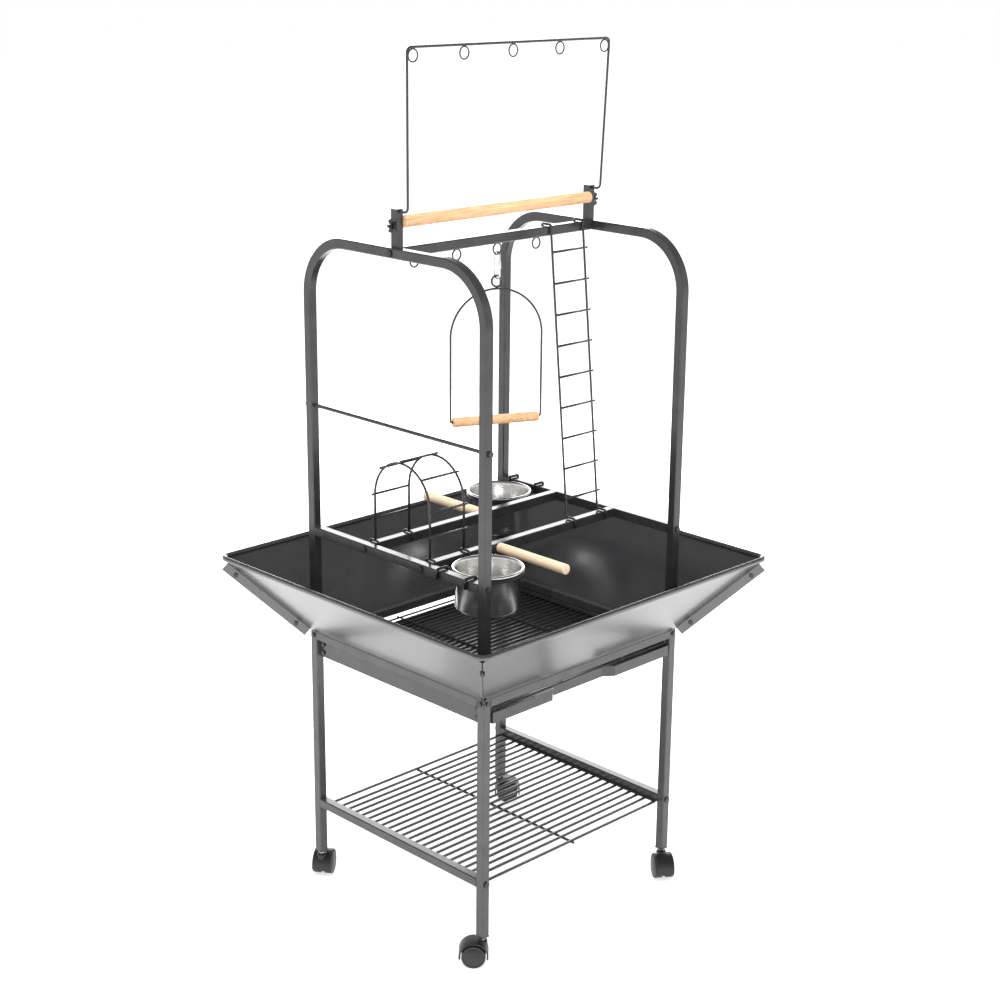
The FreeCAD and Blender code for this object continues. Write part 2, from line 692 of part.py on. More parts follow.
def cross_rod():
    """The round rod through both posts on the left, with a nut at each end."""
    reach = "(leg_y + tube / 2 + head_height)"
    shaft = rod("cross_rod_shaft", "rod", "2 * " + reach, ("-leg_x", "-" + reach, "rod_height"), "Y")
    nuts = [shaft]
    for end, along in ENDS.items():
        start = "%d * (leg_y + tube / 2 + head_height) - head_height" % along
        nut = prism("rod_cap_" + end, WIRE_SIDES, "bolt_head", "2 * head_height",
                    ("-leg_x", start, "rod_height"), "Y")
        nuts.append(nut)
    rod_body = fuse("cross_rod", nuts)
    rod_body.Label = "cross_rod"
    node(rod_body)


# ------------------------------------------------------------------ top perch and toy hanger
def perch_posts():
    posts = []
    for side, across in SIDES.items():
        middle = "%d * post_x" % across
        post = block("post_block_" + side, ("post_width", "post_width", "post_top - frame_top"),
                     (middle + " - post_width / 2", "-post_width / 2", "frame_top"))
        bolt_hole = prism("post_bolt_hole_" + side, SMALL_SIDES, "bolt + 2 * plug_gap", "2 * post_width",
                          (middle + " - post_width", "-perch_bolt_y", "perch_bolt_height"), "X")
        foot_hole = prism("post_foot_hole_" + side, SMALL_SIDES, "hanger_wire + 3 * plug_gap",
                          "2 * post_width", (middle, "-post_width", "post_top - 2 * hanger_wire"), "Y")
        posts.append(cut("perch_post_" + side, cut("post_drilled_" + side, post, bolt_hole), foot_hole))
    group("perch_posts", posts)


def top_perch():
    """The wooden perch between the posts, with a pilot hole for the bolt in each end."""
    half = "(post_x - post_width / 2)"
    dowel = rod("perch_dowel", "perch", "2 * " + half, ("-" + half, "-perch_y", "perch_height"), "X")
    for side, across in SIDES.items():
        start = "%d * (post_x - post_width / 2) - post_width" % across
        hole = prism("perch_hole_" + side, SMALL_SIDES, "bolt + plug_gap", "2 * post_width",
                     (start, "-perch_bolt_y", "perch_bolt_height"), "X")
        dowel = cut("perch_drilled_" + side, dowel, hole)
    dowel.Label = "top_perch"
    node(dowel)


def wing_nuts():
    """A hanger bolt and a wing nut at each end of the top perch."""
    pieces = []
    bolt, reach, wing, height = value("bolt"), value("post_width"), value("wing"), value("2 * head_height")
    for across in SIDES.values():
        base = Vector(across * value("post_x + post_width / 2"), -value("perch_bolt_y"),
                      value("perch_bolt_height"))
        out = Vector(across, 0, 0)
        pieces.append(wire_bar(base - out * (2 * reach), base + out * reach, value("bolt - lift")))
        shapes = [head(base, out, value("bolt_head"), height)]
        for lean in (0, 180):
            blade = Part.makeBox(height * 1.6, height / 3, wing, Vector(0, -height / 6, 0))
            blade.rotate(Vector(), Vector(0, 1, 0), value("wing_lean"))
            blade.translate(Vector(bolt / 2, 0, bolt))
            blade.rotate(Vector(), Vector(1, 0, 0), lean)
            if across < 0:
                blade.rotate(Vector(), Vector(0, 0, 1), 180)
            blade.translate(base)
            shapes.append(blade)
        nut = joined(shapes).cut(wire_bar(base - out * reach, base + out * (2 * reach), bolt))
        behind = Part.makeBox(reach, 2 * reach, 2 * reach,
                              base + Vector(-reach if across > 0 else 0, -reach, -reach))
        pieces.append(nut.cut(behind))
    formed("wing_nuts", Part.makeCompound(pieces))


def toy_hanger():
    """A bent wire that stands in the perch posts, with rings along its top for hanging toys."""
    half, lean, out = value("hanger_half"), value("hanger_lean"), value("hanger_out")
    foot_z, top, wire = value("post_top - 2 * hanger_wire"), value("hanger_top"), value("hanger_wire")
    post, depth = value("post_x"), value("post_width / 2")
    bend = 4 * wire
    left = [Vector(-post, depth + wire, foot_z), Vector(-post, -out, foot_z), Vector(-half, -out - lean, top)]
    right = [Vector(-point.x, point.y, point.z) for point in reversed(left)]
    shapes = [swept(wire_path(left + right, bend), wire)]
    radius, ring = value("hanger_ring"), value("ring_wire")
    for step in range(-2, 3):
        centre = Vector(step * value("hanger_step"), -out - lean, top - wire - radius - ring + ring / 2)
        shapes.append(wire_ring(centre, Vector(0, 1, 0), radius, ring))
    formed("toy_hanger", joined(shapes))


# ------------------------------------------------------------------ ladder, bridge and low perches
def ladder():
    """Two rails that hook over the top bar and a play rail, with rungs welded on their faces."""
    wire, tube = value("ladder_wire"), value("tube")
    step, first, rungs = value("rung_step"), value("rail_top + rung_rise"), int(value("ladder_rungs"))
    bar_top, rail_top = value("frame_top"), value("rail_top")
    rail_y, gap = -value("cross_y"), value("ladder_wire + hook_gap")
    head, foot, drop = bar_top + gap, rail_top + gap, value("hook_drop")
    shapes = []
    reach = tube / 2 + gap
    upper = Vector(0, -reach, bar_top - drop / 2)
    lower = Vector(0, rail_y + reach, rail_top + drop)
    path = [Vector(0, reach, bar_top - drop), Vector(0, reach, head), Vector(0, -reach, head), upper,
            lower, Vector(0, rail_y + reach - wire / 2, foot), Vector(0, rail_y - reach, foot),
            Vector(0, rail_y - reach, rail_top - drop)]
    for across in (value("ladder_left"), value("ladder_right")):
        shapes.append(swept(wire_path([point + Vector(across, 0, 0) for point in path], 2 * wire), wire))
    slope = (upper - lower).normalize()
    face = slope.cross(Vector(1, 0, 0)).normalize()
    if face.y > 0:
        face = face * -1
    for index in range(rungs):
        share = (first + step * index - lower.z) / (upper.z - lower.z)
        on_rail = lower + (upper - lower) * share + face * value("2 * ladder_wire - weld")
        out = value("rung_out")
        shapes.append(wire_bar(on_rail + Vector(value("ladder_left") - out, 0, 0),
                               on_rail + Vector(value("ladder_right") + out, 0, 0), wire))
    formed("ladder", joined(shapes))


def bridge():
    """Two arches that hook over the cross rails, with rungs welded on top."""
    wire, radius, spring = value("ladder_wire"), value("bridge_radius"), value("rail_top + bridge_rise")
    rail_top, tube, rail_y = value("rail_top"), value("tube"), value("cross_y")
    gap = value("ladder_wire + hook_gap")
    inner, outer = rail_y - tube / 2 - gap, rail_y + tube / 2 + gap
    foot, down = rail_top + gap, value("rail_top - hook_drop")
    shapes = []
    for across in (-value("bridge_left"), -value("bridge_right")):
        hooks = []
        for along in (-1, 1):
            path = [Vector(across, along * inner, down), Vector(across, along * inner, foot),
                    Vector(across, along * outer, foot), Vector(across, along * outer, down)]
            hooks.append(swept(wire_path(path, 2 * wire), wire))
        centre, crown = Vector(across, 0, spring), Vector(across, 0, spring + radius)
        start, end = Vector(across, -radius, spring), Vector(across, radius, spring)
        arch = [Vector(across, -radius, foot)] + arc_points(centre, start, crown, ARCH_STEP) \
            + arc_points(centre, crown, end, ARCH_STEP)[1:] + [Vector(across, radius, foot)]
        shapes += hooks + [swept(arch, wire)]
    on_top = radius + value("2 * ladder_wire - weld")
    out = value("rung_out")
    left, right = -value("bridge_left") - out, out - value("bridge_right")
    for index in range(-2, 3):
        angle = math.pi / 4 * index
        along, height = on_top * math.sin(angle), spring + on_top * math.cos(angle)
        shapes.append(wire_bar(Vector(left, along, height), Vector(right, along, height), wire))
    low = (foot + spring) / 2 - wire
    for along in (-on_top, on_top):
        shapes.append(wire_bar(Vector(left, along, low), Vector(right, along, low), wire))
    formed("bridge", joined(shapes))


def low_perches():
    for end, along in ENDS.items():
        across = "-front_perch_x" if end == "front" else "rear_perch_x"
        start = "-(cross_y + tube / 2 + front_perch_length)" if end == "front" else "cross_y + tube / 2"
        dowel = rod("low_dowel_" + end, "low_perch", end + "_perch_length",
                    (across, start, "rail_top - tube / 2 + lift"), "Y")
        tip = "-(cross_y + tube / 2 + front_perch_length)" if end == "front" else \
            "cross_y + tube / 2 + rear_perch_length - head_height"
        recess = bore("low_recess_" + end, WIRE_SIDES, "bolt_head + 2 * lift", "head_height",
                      (across, tip, "rail_top - tube / 2 + lift"), "Y")
        perch = cut("low_perch_" + end, dowel, recess)
        perch.Label = "low_perch_" + end
        node(perch)


# ------------------------------------------------------------------ cups
def cup(label, across, along):
    """A drawn bowl with a turned-out rim."""
    body = new_body(label)
    profile = sketch_on(body, "XZ_Plane", label + "_profile")
    roll = "(cup_rim - cup) / 2"
    inside = "cup - cup_sheet"
    outline(profile, [("0", "0"), ("cup - cup / 6", "0"), ("cup", "cup / 6"),
                      ("cup", "cup_depth - 2 * " + roll), ("cup_rim", "cup_depth - 2 * " + roll),
                      ("cup_rim", "cup_depth - " + roll), ("cup_rim - " + roll, "cup_depth"),
                      (inside, "cup_depth"), (inside, "cup / 6"), (inside + " - cup / 6", "cup_sheet"),
                      ("0", "cup_sheet")])
    doc.recompute()
    bowl = body.newObject("PartDesign::Revolution", label + "_bowl")
    bowl.Profile = profile
    bowl.ReferenceAxis = (profile, ["V_Axis"])
    node(place(body, (across, along, "cup_top - cup_depth")))


HOLDER_SEAT = "(cup_top - (cup_rim - cup) - holder_wire * %.4f)" % WIRE_REACH


def cup_holder(label, sign, along):
    """A ring under the cup's rim, with two hooks over the side rail; made on the left."""
    wire = value("holder_wire")
    sides = 2 * WHEEL_SIDES
    radius = (value("cup + cup_gap") + wire * WIRE_REACH) / math.cos(math.pi / sides)
    centre = Vector(-value("cup_x"), along, value(HOLDER_SEAT))
    shapes = [wire_ring(centre, Vector(0, 0, 1), radius, wire, sides)]
    rail, tube, top = value("leg_x"), value("tube"), value("rail_top")
    hook, gap = value("holder_hook"), value("holder_wire + hook_gap")
    reach = math.sqrt(radius ** 2 - hook ** 2)
    for offset in (-hook, hook):
        path = [Vector(centre.x - reach, along + offset, centre.z),
                Vector(tube / 2 + gap - rail, along + offset, centre.z),
                Vector(tube / 2 + gap - rail, along + offset, top + gap),
                Vector(-tube / 2 - gap - rail, along + offset, top + gap),
                Vector(-tube / 2 - gap - rail, along + offset, value("rail_top - hook_drop"))]
        shapes.append(swept(wire_path(path, value("holder_wire * 1.2")), wire))
    holder = joined(shapes)
    formed(label, holder if sign < 0 else holder.mirror(Vector(), Vector(1, 0, 0)))


def cups():
    cup("cup_front", "-cup_x", "-cup_front_y")
    cup("cup_rear", "cup_x", "cup_rear_y")
    cup_holder("cup_holder_front", -1, -value("cup_front_y"))
    cup_holder("cup_holder_rear", 1, value("cup_rear_y"))


# ------------------------------------------------------------------ swing
def swing():
    """An arch of wire that hangs from the middle ring by a link, with a perch across its ends."""
    wire, half, apex = value("swing_wire"), value("swing_half"), value("swing_apex")
    height, perch, reach = value("swing_height"), value("swing_perch"), value("swing_perch_half")
    spring, side = value("swing_spring"), value("link_half")
    rise = apex - spring
    radius = (half ** 2 + rise ** 2) / (2 * rise)
    start = reach - 6 * wire
    crown = Vector(0, 0, apex)
    left = wire_path([Vector(-start, 0, height), Vector(-half, 0, height), Vector(-half, 0, spring)],
                     2 * wire)
    left += arc_points(crown - Vector(0, 0, radius), left.pop(), crown, ARCH_STEP)
    right = [Vector(-point.x, 0, point.z) for point in reversed(left[:-1])]
    eye_radius = value("swing_eye")
    eye_z = apex + eye_radius + value("2 * swing_wire - weld")
    frame = joined([swept(left + right, wire),
                    wire_ring(Vector(0, 0, eye_z), Vector(0, 1, 0), eye_radius, wire)])
    dowel = bar(Vector(-reach, 0, height), Vector(reach, 0, height), perch)
    for sign in (-1, 1):
        dowel = dowel.cut(wire_bar(Vector(sign * start, 0, height), Vector(sign * 2 * reach, 0, height),
                                   value("swing_wire + plug_gap")))
    ring_low = value("frame_top - tube - 2 * ring - ring_wire + weld")
    top = ring_low + value("ring_wire + 2 * lift + link_wire")
    bottom = eye_z + eye_radius - value("swing_wire + 3 * lift + link_wire")
    upper, lower = Vector(0, 0, top - side), Vector(0, 0, bottom + side)
    across = Vector(0, side, 0)
    link = swept(arc_points(upper, upper - across, Vector(0, 0, top), BEND_STEP)
                 + arc_points(upper, Vector(0, 0, top), upper + across, BEND_STEP)[1:]
                 + arc_points(lower, lower + across, Vector(0, 0, bottom), BEND_STEP)
                 + arc_points(lower, Vector(0, 0, bottom), lower - across, BEND_STEP)[1:]
                 + [upper - across], value("link_wire"))
    for label, shape in (("swing_frame", frame), ("swing_perch", dowel), ("quick_link", link)):
        shape.rotate(Vector(), Vector(0, 0, 1), -value("swing_angle") if label != "quick_link" else 0)
        formed(label, shape)


# ------------------------------------------------------------------ casters
HEADINGS = {"front_left": 135, "front_right": 235, "rear_left": 35, "rear_right": -45}


def casters():
    """Twin-wheel casters: a hood on a stem that swivels in a socket, with two wheels on one axle."""
    sockets = []
    inside = "(tube - 2 * tube_wall - 2 * plug_gap)"
    depth = "(plug_length / 2)"
    for end, along in ENDS.items():
        for side, across in SIDES.items():
            corner = end + "_" + side
            x, y = "%d * leg_x" % across, "%d * leg_y" % along
            lip = block("socket_lip_" + corner, ("tube", "tube", "lip"),
                        (x + " - tube / 2", y + " - tube / 2", "leg_foot - lip"))
            plug = block("socket_plug_" + corner, (inside, inside, depth),
                         (x + " - %s / 2" % inside, y + " - %s / 2" % inside, "leg_foot"))
            hole = rod("socket_bore_" + corner, "stem + stem_gap", depth,
                       (x, y, "leg_foot - lip - plug_gap"))
            sockets.append(cut("socket_" + corner, fuse("socket_body_" + corner, [lip, plug]), hole))
            caster(corner, x, y, HEADINGS[corner])
    group("caster_sockets", sockets)


def caster(corner, x, y, heading):
    """One caster, made with its wheels trailing along +X and turned to its heading."""
    hood_half, web = "(wheel_half - wheel_proud)", "(wheel_gap - web_gap)"
    boss_top, seat_depth = "(leg_foot - lip - collar)", "(2 * stem)"
    axis_y = ("trail", "-" + hood_half, "wheel")
    drum = prism("hood_drum_" + corner, WHEEL_SIDES, "hood", "2 * " + hood_half, axis_y, "Y")
    boss = prism("hood_boss_" + corner, SMALL_SIDES, "2 * stem", boss_top + " - wheel", ("0", "0", "wheel"))
    hood = fuse("hood_outside_" + corner, [drum, boss])
    for name, start in (("left", "-wheel_half"), ("right", web)):
        chamber = prism("chamber_%s_%s" % (name, corner), WHEEL_SIDES, "hood - hood_wall",
                        "wheel_half - " + web, ("trail", start, "wheel"), "Y")
        hood = cut("hood_%s_%s" % (name, corner), hood, chamber)
    below = block("hood_below_" + corner, ("4 * hood", "4 * hood", "2 * hood"),
                  ("trail - 2 * hood", "-2 * hood", "wheel - 2 * hood - 2 * axle"))
    hood = cut("hood_open_" + corner, hood, below)
    hole = rod("hood_hole_" + corner, "axle + axle_gap", "4 * " + web, ("trail", "-2 * " + web, "wheel"), "Y")
    hood = cut("hood_bored_" + corner, hood, hole)
    seat = rod("hood_seat_" + corner, "stem", "hood", ("0", "0", boss_top + " - " + seat_depth))
    hood = cut("caster_hood_" + corner, hood, seat)
    hood.Label = "caster_hood_" + corner
    shank = rod("stem_shank_" + corner, "stem",
                "leg_foot - %s + %s + plug_length / 2 - 2 * lip" % (boss_top, seat_depth),
                ("0", "0", boss_top + " - " + seat_depth))
    collar = prism("stem_collar_" + corner, SMALL_SIDES, "neck", "collar - lift", ("0", "0", boss_top))
    stem = fuse("caster_stem_" + corner, [shank, collar])
    stem.Label = "caster_stem_" + corner
    wheels = doc.addObject("Part::Feature", "caster_wheels_" + corner)
    wheels.Shape = Part.makeCompound(wheel_pair())
    wheels.Label = "caster_wheels_" + corner
    for piece in (hood, stem, wheels):
        node(place(piece, (x, y, "0"), ((0, 0, 1), heading)))


def wheel_pair():
    """Two moulded wheels with bevelled edges, and the axle that is pressed into both."""
    radius, out, gap, axle = value("wheel"), value("wheel_half"), value("wheel_gap"), value("axle")
    bevel = value("wheel_bevel")
    pressed = out - 2 * bevel
    axle_bar = Part.makeCylinder(axle, 2 * pressed, Vector(0, 0, -pressed))
    tyre = turned([(axle / 2, gap), (radius, gap), (radius, out - bevel), (radius - bevel, out),
                   (axle / 2, out)], WHEEL_SIDES)
    wheel = joined([tyre, faceted_bar(axle / 2, gap, out, WHEEL_SIDES)]).cut(axle_bar)
    pieces = [axle_bar, wheel, wheel.mirror(Vector(), Vector(0, 0, 1))]
    for piece in pieces:
        piece.rotate(Vector(), Vector(1, 0, 0), 90)
        piece.translate(Vector(value("trail"), 0, radius))
    return pieces


# ------------------------------------------------------------------ fasteners
def head(at, out, radius, height=None):
    """The head of a screw or bolt that sits on a face."""
    return wire_bar(at, at + out * (height or value("head_height")), radius)


def frame_bolts():
    """Bolts through the side frames into the top bar, and the heads on the posts and rails."""
    shapes = []
    radius, half = value("bolt_head"), value("tube / 2")
    x, y = value("leg_x"), value("leg_y")
    for across in (-1, 1):
        out = Vector(across, 0, 0)
        face = Vector(across * (x + half), 0, value("frame_top - tube / 2"))
        shank = wire_bar(face, face - out * value("tube + plug_length / 2"), value("bolt - lift"))
        shapes.append(joined([head(face, out, radius), shank]))
        for along in (-1, 1):
            side = Vector(0, along, 0)
            corner = Vector(across * x, along * (y + half), value("rail_top - tube / 2"))
            shapes.append(head(corner, side, radius))
            corner.z = value("shelf_height - tube / 2")
            shapes.append(head(corner, side, radius))
            shapes.append(head(Vector(across * (x + half), along * value("cross_y"),
                                      value("rail_top - tube / 2")), out, radius))
    for end, along, across in (("front", -1, -value("front_perch_x")), ("rear", 1, value("rear_perch_x"))):
        tip = value("cross_y + tube / 2 + %s_perch_length - head_height" % end)
        shapes.append(wire_bar(Vector(across, along * tip, value("rail_top - tube / 2 + lift")),
                               Vector(across, along * (tip + value("head_height - lift")),
                                      value("rail_top - tube / 2 + lift")), value("bolt_head - lift")))
        inside = Vector(across, along * value("cross_y - tube / 2"), value("rail_top - tube / 2 + lift"))
        shapes.append(head(inside, Vector(0, -along, 0), radius))
    formed("frame_bolts", Part.makeCompound(shapes))


def sheet_screws():
    """Screws that join the skirt's flanges and hold the runners and base rails."""
    shapes = []
    radius, half, thick = value("screw_head"), value("tube / 2"), value("sheet")
    low, high = value("base_top + sheet"), value("skirt_top")
    for across, along in ((-1, -1), (1, -1), (1, 1), (-1, 1)):
        base = Vector(across * value("leg_x + tube / 2"), along * value("leg_y + tube / 2"), low)
        top = Vector(across * value("skirt_reach_x"), along * value("skirt_reach_y"), high)
        line = (top - base).normalize()
        diagonal = Vector(top.x - base.x, top.y - base.y, 0).normalize()
        away = (diagonal - line * line.dot(diagonal)).normalize()
        square = Vector(0, 0, 1).cross(diagonal)
        for along_flange in (value("screw_low"), (top - base).Length - value("screw_high")):
            at = base + line * along_flange + away * value("flange / 2")
            for side in (-1, 1):
                shapes.append(head(at + square * (side * thick), square * side, radius))
        leg = Vector(across * value("leg_x"), along * (value("leg_y") + half), value("base_top - tube / 2"))
        shapes.append(head(leg, Vector(0, along, 0), radius))
        leg = Vector(across * (value("leg_x") + half), along * value("leg_y"), value("base_top - tube / 2"))
        shapes.append(head(leg, Vector(across, 0, 0), radius))
        for drop in (0.25, 0.75):
            at = Vector(across * value("runner_out"), along * value("leg_y - tube"),
                        value("runner_low") + value("base_top - tube - runner_low") * drop)
            shapes.append(head(at, Vector(across, 0, 0), radius))
    formed("sheet_screws", Part.makeCompound(shapes))


# ------------------------------------------------------------------ the whole stand
def build():
    legs()
    base_frame()
    tube_plugs()
    shelf_grid()
    runners()
    tray()
    grille()
    skirt()
    side_frames()
    play_rails()
    top_bar()
    cross_rod()
    perch_posts()
    top_perch()
    wing_nuts()
    toy_hanger()
    ladder()
    bridge()
    low_perches()
    cups()
    swing()
    casters()
    frame_bolts()
    sheet_screws()
    doc.recompute()


def write():
    faults = [item.Label for item in doc.Objects if {"Invalid", "Error"} & set(item.State)]
    faults += [item.Label for item in NODES if item.Shape.isNull() or not item.Shape.isValid()]
    if faults:
        raise RuntimeError("not built: " + ", ".join(sorted(set(faults))))
    os.makedirs("parts", exist_ok=True)
    for item in NODES:
        item.Shape.exportStep("parts/" + item.Label + ".step")
    print(len(NODES), "sub-parts")


build()
write()
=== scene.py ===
"""Looks of the parrot play stand: finishes, wire forms, wood, steel, camera and light.  Metres, +Z up."""
import json
import math

import bmesh
import bpy
from mathutils import Matrix, Vector


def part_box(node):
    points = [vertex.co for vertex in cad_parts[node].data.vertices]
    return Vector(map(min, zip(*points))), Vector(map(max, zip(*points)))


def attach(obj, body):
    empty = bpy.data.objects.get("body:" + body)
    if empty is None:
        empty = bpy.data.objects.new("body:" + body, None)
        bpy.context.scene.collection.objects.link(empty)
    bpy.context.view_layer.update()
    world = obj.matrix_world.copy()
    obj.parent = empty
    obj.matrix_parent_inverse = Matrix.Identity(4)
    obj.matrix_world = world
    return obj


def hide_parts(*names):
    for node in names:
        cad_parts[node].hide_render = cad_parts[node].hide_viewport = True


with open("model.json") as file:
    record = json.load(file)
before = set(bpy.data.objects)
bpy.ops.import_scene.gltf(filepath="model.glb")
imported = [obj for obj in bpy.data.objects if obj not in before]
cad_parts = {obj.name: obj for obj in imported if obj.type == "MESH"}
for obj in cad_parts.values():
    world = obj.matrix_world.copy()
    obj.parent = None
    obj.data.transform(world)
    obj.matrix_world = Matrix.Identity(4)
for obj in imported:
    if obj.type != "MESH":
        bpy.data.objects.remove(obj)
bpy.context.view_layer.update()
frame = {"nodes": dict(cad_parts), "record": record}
scene = bpy.context.scene
NODES = frame["nodes"]


# ------------------------------------------------------------------ shader helpers
def new_material(name):
    """A node material and its main shader."""
    material = bpy.data.materials.new(name)
    material.use_nodes = True
    return material, material.node_tree, material.node_tree.nodes["Principled BSDF"]


def add(tree, kind, **values):
    """A shader node whose input sockets and properties are set by name."""
    item = tree.nodes.new(kind)
    for key, entry in values.items():
        if key in item.inputs:
            item.inputs[key].default_value = entry
        else:
            setattr(item, key, entry)
    return item


def noise(tree, scale, detail=3.0, stretch=(1, 1, 1), roughness=0.5):
    """Noise in the object's own metres, stretched along its axes."""
    place = add(tree, "ShaderNodeTexCoord")
    mapping = add(tree, "ShaderNodeMapping")
    mapping.inputs["Scale"].default_value = stretch
    tree.links.new(place.outputs["Object"], mapping.inputs["Vector"])
    item = add(tree, "ShaderNodeTexNoise", Scale=scale, Detail=detail, Roughness=roughness)
    tree.links.new(mapping.outputs["Vector"], item.inputs["Vector"])
    return item


def ramp(tree, source, stops):
    """A colour ramp driven by a factor; stops are (position, colour)."""
    item = add(tree, "ShaderNodeValToRGB")
    while len(item.color_ramp.elements) < len(stops):
        item.color_ramp.elements.new(0.5)
    for element, (position, colour) in zip(item.color_ramp.elements, stops):
        element.position = position
        element.color = (*colour, 1)
    tree.links.new(source, item.inputs["Fac"])
    return item


def spread(tree, source, low, high):
    """Maps a factor to a range of numbers."""
    item = add(tree, "ShaderNodeMapRange")
    item.inputs["To Min"].default_value = low
    item.inputs["To Max"].default_value = high
    tree.links.new(source, item.inputs["Value"])
    return item


def bump(tree, shader, source, strength, distance):
    """Raises the surface by a factor."""
    item = add(tree, "ShaderNodeBump", Strength=strength, Distance=distance)
    tree.links.new(source, item.inputs["Height"])
    tree.links.new(item.outputs["Normal"], shader.inputs["Normal"])


# ------------------------------------------------------------------ materials
def powder_coat(name, dark, light, gloss=(0.16, 0.26), peel=0.05, index=1.5, clear=0.0):
    """Charcoal powder coat: slight orange peel, faint mottling and dust that dulls it in patches."""
    material, tree, shader = new_material(name)
    mottle = noise(tree, 38.0, 4.0)
    colour = ramp(tree, mottle.outputs["Fac"], [(0.3, dark), (0.75, light)])
    tree.links.new(colour.outputs["Color"], shader.inputs["Base Color"])
    rough = spread(tree, noise(tree, 9.0, 5.0).outputs["Fac"], *gloss)
    tree.links.new(rough.outputs["Result"], shader.inputs["Roughness"])
    shader.inputs["IOR"].default_value = index
    shader.inputs["Coat Weight"].default_value = clear
    shader.inputs["Coat Roughness"].default_value = 0.12
    bump(tree, shader, noise(tree, 900.0, 2.0).outputs["Fac"], peel, 0.0004)
    return material


def turned_wood(name, pale, deep, along):
    """Plain sanded wood with fine long grain and a few darker streaks; the grain runs along one axis."""
    material, tree, shader = new_material(name)
    stretch = [1.0, 1.0, 1.0]
    stretch["XYZ".index(along)] = 0.06
    fine = noise(tree, 420.0, 6.0, stretch, 0.62)
    broad = noise(tree, 60.0, 3.0, stretch)
    colour = ramp(tree, fine.outputs["Fac"], [(0.28, deep), (0.62, pale)])
    tone = ramp(tree, broad.outputs["Fac"], [(0.3, (0.86, 0.82, 0.78)), (0.7, (1, 1, 1))])
    mix = add(tree, "ShaderNodeMix", data_type="RGBA", blend_type="MULTIPLY")
    mix.inputs["Factor"].default_value = 1.0
    tree.links.new(colour.outputs["Color"], mix.inputs[6])
    tree.links.new(tone.outputs["Color"], mix.inputs[7])
    tree.links.new(mix.outputs[2], shader.inputs["Base Color"])
    rough = spread(tree, fine.outputs["Fac"], 0.62, 0.45)
    tree.links.new(rough.outputs["Result"], shader.inputs["Roughness"])
    bump(tree, shader, fine.outputs["Fac"], 0.35, 0.0004)
    return material


def brushed_steel(name):
    """Stainless steel spun on a lathe: fine rings round the axis."""
    material, tree, shader = new_material(name)
    shader.inputs["Metallic"].default_value = 1.0
    lines = noise(tree, 60.0, 2.0, (0.05, 0.05, 6.0))
    colour = ramp(tree, lines.outputs["Fac"], [(0.3, (0.8, 0.79, 0.77)), (0.7, (0.88, 0.87, 0.85))])
    tree.links.new(colour.outputs["Color"], shader.inputs["Base Color"])
    rough = spread(tree, lines.outputs["Fac"], 0.18, 0.2)
    tree.links.new(rough.outputs["Result"], shader.inputs["Roughness"])
    bump(tree, shader, lines.outputs["Fac"], 0.004, 0.0002)
    return material


def moulded_plastic(name, dark, light):
    """Black moulded plastic with a fine grain."""
    material, tree, shader = new_material(name)
    grain = noise(tree, 700.0, 3.0)
    colour = ramp(tree, noise(tree, 30.0, 3.0).outputs["Fac"], [(0.3, dark), (0.8, light)])
    tree.links.new(colour.outputs["Color"], shader.inputs["Base Color"])
    rough = spread(tree, grain.outputs["Fac"], 0.34, 0.5)
    tree.links.new(rough.outputs["Result"], shader.inputs["Roughness"])
    bump(tree, shader, grain.outputs["Fac"], 0.1, 0.0003)
    return material


def plated_steel(name):
    """Bright zinc plating with a faint cloud."""
    material, tree, shader = new_material(name)
    shader.inputs["Metallic"].default_value = 1.0
    cloud = noise(tree, 180.0, 4.0)
    colour = ramp(tree, cloud.outputs["Fac"], [(0.3, (0.5, 0.5, 0.5)), (0.7, (0.72, 0.72, 0.72))])
    tree.links.new(colour.outputs["Color"], shader.inputs["Base Color"])
    rough = spread(tree, cloud.outputs["Fac"], 0.16, 0.3)
    tree.links.new(rough.outputs["Result"], shader.inputs["Roughness"])
    return material


MATERIALS = {
    "frame_paint": powder_coat("frame_paint", (0.022, 0.022, 0.024), (0.034, 0.034, 0.036)),
    "base_paint": powder_coat("base_paint", (0.042, 0.042, 0.045), (0.06, 0.06, 0.063)),
    "skirt_paint": powder_coat("skirt_paint", (0.026, 0.026, 0.028), (0.034, 0.034, 0.036), (0.22, 0.3),
                               0.004, 1.8, 0.25),
    "tray_paint": powder_coat("tray_paint", (0.03, 0.03, 0.032), (0.045, 0.045, 0.047)),
    "wire_paint": powder_coat("wire_paint", (0.02, 0.02, 0.021), (0.032, 0.032, 0.034)),
    "black_hardware": powder_coat("black_hardware", (0.008, 0.008, 0.008), (0.016, 0.016, 0.016)),
    "zinc_steel": plated_steel("zinc_steel"),
    "caster_plastic": moulded_plastic("caster_plastic", (0.012, 0.012, 0.012), (0.02, 0.02, 0.021)),
    "perch_wood": turned_wood("perch_wood", (0.8, 0.5, 0.28), (0.52, 0.27, 0.12), "X"),
    "dowel_wood": turned_wood("dowel_wood", (0.88, 0.72, 0.52), (0.72, 0.52, 0.34), "Y"),
    "cup_steel": brushed_steel("cup_steel"),
}


def dress_cad():
    """Gives every CAD node the finish of its slot in the record."""
    for part in frame["record"]["subparts"]:
        node = NODES[part["node"]]
        node.data.materials.clear()
        node.data.materials.append(MATERIALS[part["material_slot"]])


